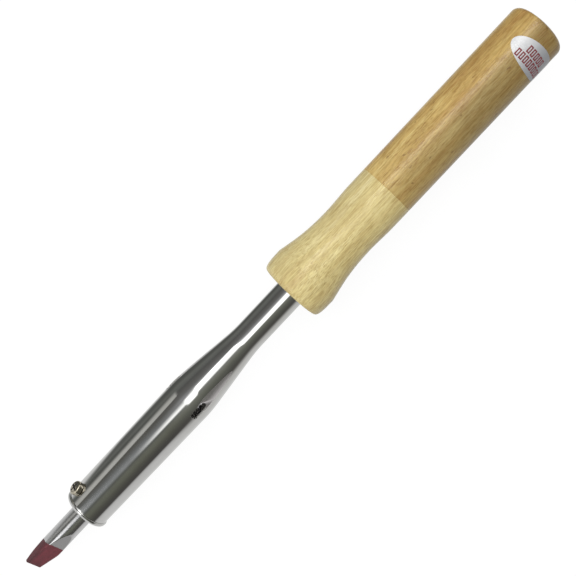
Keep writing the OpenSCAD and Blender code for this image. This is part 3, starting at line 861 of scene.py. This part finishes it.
def make_camera():
    data = bpy.data.cameras.new("camera")
    data.lens = CAMERA_LENS
    data.sensor_width = 36.0
    data.clip_start, data.clip_end = 0.01, 10.0
    camera = new_object("camera", data)
    back = (CAMERA_AT - CAMERA_AIM).normalized()
    along = (Vector((1, 0, 0)) - back * back.x).normalized()
    across = back.cross(along)
    right = math.cos(HANDLE_RISES) * along - math.sin(HANDLE_RISES) * across
    up = math.sin(HANDLE_RISES) * along + math.cos(HANDLE_RISES) * across
    turn = Matrix((right, up, back)).transposed().to_4x4()
    camera.matrix_world = Matrix.Translation(CAMERA_AT) @ turn
    bpy.context.scene.camera = camera


def make_floor():
    """The iron rests on the bell and on the lip, so the floor touches both."""
    bell = (BELL_X, -BELL_R)
    rim = (BARREL_FRONT, -LIP_R)
    slope = (bell[1] - rim[1]) / (bell[0] - rim[0])
    half = 1500
    corners = [(-half, -half), (half, -half), (half, half), (-half, half)]
    mesh = bpy.data.meshes.new("floor")
    mesh.from_pydata([Vector((x, y, bell[1] + slope * (x - bell[0]))) * MM for x, y in corners],
                     [], [(0, 1, 2, 3)])
    floor = new_object("floor", mesh)
    g = Graph("floor", Roughness=0.9, Specular_IOR_Level=0.1)
    paper = g.noise(g.stretched(60, 60, 60), 3.0, 0.6)
    g.paint("Base Color", g.ramp(paper, (0.3, (0.115, 0.115, 0.115)), (0.7, (0.125, 0.125, 0.125))))
    g.shader.inputs["Emission Color"].default_value = (1.0, 1.0, 1.0, 1.0)
    g.shader.inputs["Emission Strength"].default_value = 0.91
    mesh.materials.append(g.material)
    floor.visible_glossy = False
    floor.visible_diffuse = False


class Sky(Graph):
    """World light, worked out from the direction looked in."""

    def __init__(self, name):
        world = bpy.data.worlds.new(name)
        bpy.context.scene.world = world
        world.use_nodes = True
        self.nodes, self.links = world.node_tree.nodes, world.node_tree.links
        self.background = self.nodes["Background"]
        self.looked_in = self.node("ShaderNodeTexCoord").outputs["Generated"]
        self.axes = self.split(self.looked_in)

    def window(self, value, start, end, soft_start, soft_end):
        """1 between start and end, falling smoothly to 0 over the two soft widths."""
        half_start, half_end = soft_start / 2, soft_end / 2
        rise = self.levels(value, self.shifted(start, -half_start), self.shifted(start, half_start))
        fall = self.levels(value, self.shifted(end, -half_end), self.shifted(end, half_end), 1.0, 0.0)
        return self.maths("MULTIPLY", rise, fall)

    def shifted(self, value, by):
        return self.maths("ADD", value, by) if isinstance(value, bpy.types.NodeSocket) else value + by


def by_turn(s, around_x, *stops):
    """Colour by the angle about the iron's axis, from -180 to 180 degrees."""
    turn = s.levels(around_x, -180, 180, 0.0, 1.0, False)
    return s.ramp(turn, *[((angle + 180) / 360, colour) for angle, colour in stops])


def line(s, value, at, base, slope):
    """base at the value `at`, changing by slope for each unit."""
    return s.maths("ADD", s.maths("MULTIPLY", s.maths("SUBTRACT", value, at), slope), base)


def studio_bands(s):
    """What shiny faces see: a white table, a dark room, a long soft window overhead, a brighter
    core in it, a paler strip beside it and a low window toward the tip. The bands run along the
    iron; around_x is the angle about its axis and tilt the lean along it."""
    minus_y = s.maths("MULTIPLY", s.axes["Y"], -1.0)
    around_x = s.maths("DEGREES", s.maths("ARCTAN2", minus_y, s.axes["Z"]))
    tilt = s.maths("DEGREES", s.maths("ARCSINE", s.axes["X"]))
    table = (0.80, 0.80, 0.79)
    room = by_turn(
        s, around_x,
        (-180, (0.12, 0.12, 0.115)), (-112, (0.115, 0.12, 0.11)), (-93, (0.185, 0.19, 0.175)),
        (-78, (0.165, 0.17, 0.16)), (-66, (0.12, 0.12, 0.115)), (-52, (0.15, 0.147, 0.14)),
        (-38, (0.19, 0.19, 0.185)), (-26, (0.34, 0.34, 0.345)), (-8, (0.38, 0.385, 0.39)),
        (8, (0.30, 0.305, 0.28)), (25, (0.215, 0.22, 0.185)), (38, (0.155, 0.16, 0.135)),
        (52, (0.125, 0.125, 0.11)), (65, (0.10, 0.098, 0.088)), (74, (0.12, 0.115, 0.105)),
        (80, (0.22, 0.215, 0.205)), (87, (0.42, 0.415, 0.40)), (100, (0.68, 0.675, 0.655)),
        (150, table), (180, table))
    far_room = by_turn(
        s, around_x,
        (-180, (0.15, 0.15, 0.14)), (-112, (0.14, 0.145, 0.135)), (-97, (0.18, 0.185, 0.17)),
        (-86, (0.12, 0.125, 0.115)), (-60, (0.13, 0.13, 0.12)), (-43, (0.128, 0.125, 0.112)),
        (-27, (0.18, 0.185, 0.18)), (-12, (0.30, 0.31, 0.315)), (-4, (0.34, 0.35, 0.355)),
        (3, (0.24, 0.25, 0.245)), (9, (0.14, 0.145, 0.13)), (20, (0.18, 0.185, 0.15)),
        (31, (0.17, 0.175, 0.14)), (47, (0.12, 0.12, 0.10)), (63, (0.09, 0.088, 0.08)),
        (75.5, (0.09, 0.086, 0.082)), (80.5, (0.40, 0.40, 0.39)), (86, (0.66, 0.655, 0.65)),
        (102, (0.75, 0.745, 0.74)), (180, table))
    glow = s.mix(s.levels(tilt, -17.8, -14.2), far_room, room)
    table_edge = s.maths("MAXIMUM", line(s, tilt, -21.0, -118.0, -9.6), -142.0)
    on_table = s.levels(around_x, s.shifted(table_edge, -15), s.shifted(table_edge, 15), 1.0, 0.0)
    glow = s.mix(on_table, glow, table)
    strip_start = line(s, tilt, -16.5, -74.5, -1.2)
    strip_end = line(s, tilt, -16.5, -54.0, -1.4)
    strip = s.window(around_x, strip_start, strip_end, 20, 4)
    strip = s.maths("MULTIPLY", strip, s.window(tilt, -23.8, -13.6, 1.6, 4.0))
    glow = s.mix(strip, glow, (0.60, 0.595, 0.565))
    window_start = line(s, tilt, -5.0, -16.5, -0.7)
    window_end = line(s, s.window(tilt, -12, -3, 6, 6), 0.0, 4.0, 6.0)
    window = s.window(around_x, window_start, window_end, 20, 9)
    window = s.maths("MULTIPLY", window, s.window(tilt, -17.8, 80, 3.5, 10))
    glow = s.mix(window, glow, (1.66, 1.66, 1.64))
    over_handle = s.levels(tilt, -3.0, 4.0)
    core_start = line(s, over_handle, 0.0, -14.0, -11.0)
    core_end = line(s, over_handle, 0.0, 12.0, -23.5)
    core = s.window(around_x, core_start, core_end, 12, 10)
    core = s.maths("MULTIPLY", core, s.window(tilt, -12, 30, 4, 10))
    glow = s.mix(core, glow, s.mix(over_handle, (2.2, 2.2, 2.17), (6.0, 6.0, 5.9)))
    low_window = s.window(around_x, -25, 0, 8, 6)
    low_window = s.maths("MULTIPLY", low_window, s.window(tilt, -50, -23.9, 8, 0.9))
    return s.mix(low_window, glow, (2.4, 2.4, 2.4))


def matt_light(s):
    """What matt faces see: broad light from above and from the +Y side."""
    lean = s.node("ShaderNodeVectorMath", operation="DOT_PRODUCT")
    s.feed(lean.inputs[0], s.looked_in)
    lean.inputs[1].default_value = Vector((-0.05, 0.48, 0.87)).normalized()
    return s.maths("MAXIMUM", line(s, lean.outputs["Value"], 0.0, 0.42, 1.0), 0.0)


def make_sky():
    s = Sky("studio")
    rays = s.node("ShaderNodeLightPath").outputs
    matt = matt_light(s)
    grey = s.node("ShaderNodeCombineColor", {"Red": matt, "Green": matt, "Blue": matt}).outputs["Color"]
    light = s.mix(rays["Is Glossy Ray"], grey, studio_bands(s))
    seen = s.mix(rays["Is Camera Ray"], light, (1.0, 1.0, 1.0))
    s.feed(s.background.inputs["Color"], seen)


make_camera()
make_floor()
make_sky()
make_handle_front()
make_handle_grip()
make_barrel()
make_bushing()
make_tip()
make_tip_screw()
make_label()
finish_cad_nodes()
bpy.context.scene.view_settings.view_transform = "Standard"
